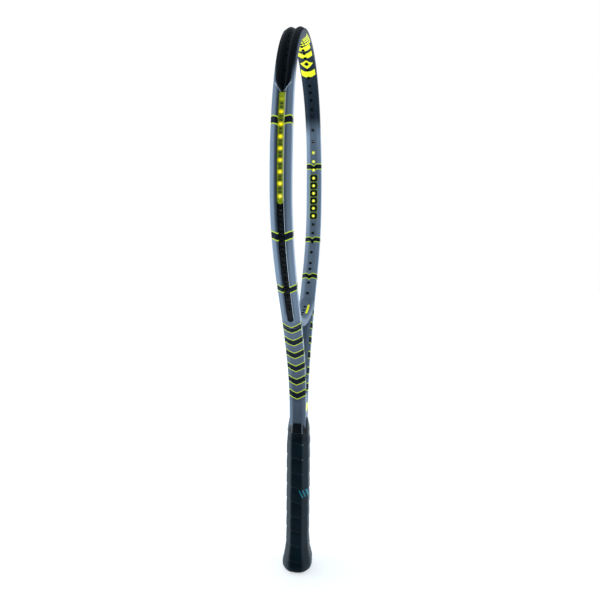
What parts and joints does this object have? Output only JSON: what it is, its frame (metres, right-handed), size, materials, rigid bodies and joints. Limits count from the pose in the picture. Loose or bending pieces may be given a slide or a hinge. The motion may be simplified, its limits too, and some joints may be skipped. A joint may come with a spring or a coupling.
{
  "type": "tennis racket",
  "caption": "Unstrung tennis racket: hollow hoop frame with throat bridge, bumper guard, grommet strips, wrapped eight-sided grip, sliding rubber collar and a butt cap with a pull-out door.",
  "frame": {"origin": "middle of the butt end's face", "axes": "+Z from the butt end to the top of the head, X across the head in the string plane, Y through the string plane with the front face at -Y"},
  "size_m": [0.2618, 0.04, 0.6857],
  "materials": {
    "frame_paint": "satin metallic slate lacquer over a carbon composite tube, black at the head, with dark bands edged in yellow-green",
    "bridge_paint": "satin metallic slate lacquer over moulded composite",
    "bumper_plastic": "matte black nylon",
    "side_grommet_plastic": "translucent yellow elastomer",
    "lower_grommet_plastic": "matte black nylon",
    "pallet_foam": "hard moulded foam",
    "butt_cap_plastic": "moulded black plastic",
    "butt_door_plastic": "moulded black plastic",
    "staple_steel": "plated wire",
    "tack_steel": "plated steel",
    "grip_wrap": "black tacky synthetic leather, spiral wrapped",
    "finishing_film": "black adhesive film",
    "collar_rubber": "moulded black rubber",
    "plug_foam": "soft foam"
  },
  "bodies": {
    "racket": {"frame": "frame_paint", "bridge": "bridge_paint", "bumper_guard": "bumper_plastic", "side_grommets_left": "side_grommet_plastic", "side_grommets_right": "side_grommet_plastic", "lower_grommets_left": "lower_grommet_plastic", "lower_grommets_right": "lower_grommet_plastic", "throat_grommets": "lower_grommet_plastic", "pallet_front": "pallet_foam", "pallet_back": "pallet_foam", "butt_cap": "butt_cap_plastic", "staple_1": "staple_steel", "staple_2": "staple_steel", "staple_3": "staple_steel", "staple_4": "staple_steel", "grip_tack": "tack_steel", "grip_tape": "grip_wrap", "finishing_tape": "finishing_film", "tube_plug_left": "plug_foam", "tube_plug_right": "plug_foam"},
    "collar": {"collar": "collar_rubber"},
    "door": {"butt_door": "butt_door_plastic"}
  },
  "joints": [
    {"name": "collar_slide", "type": "slide", "parent": "racket", "child": "collar", "axis": [0, 0, 1], "range_m": [0, 0.01]},
    {"name": "door_pull", "type": "slide", "parent": "racket", "child": "door", "axis": [0, 0, -1], "range_m": [0, 0.012]}
  ]
}
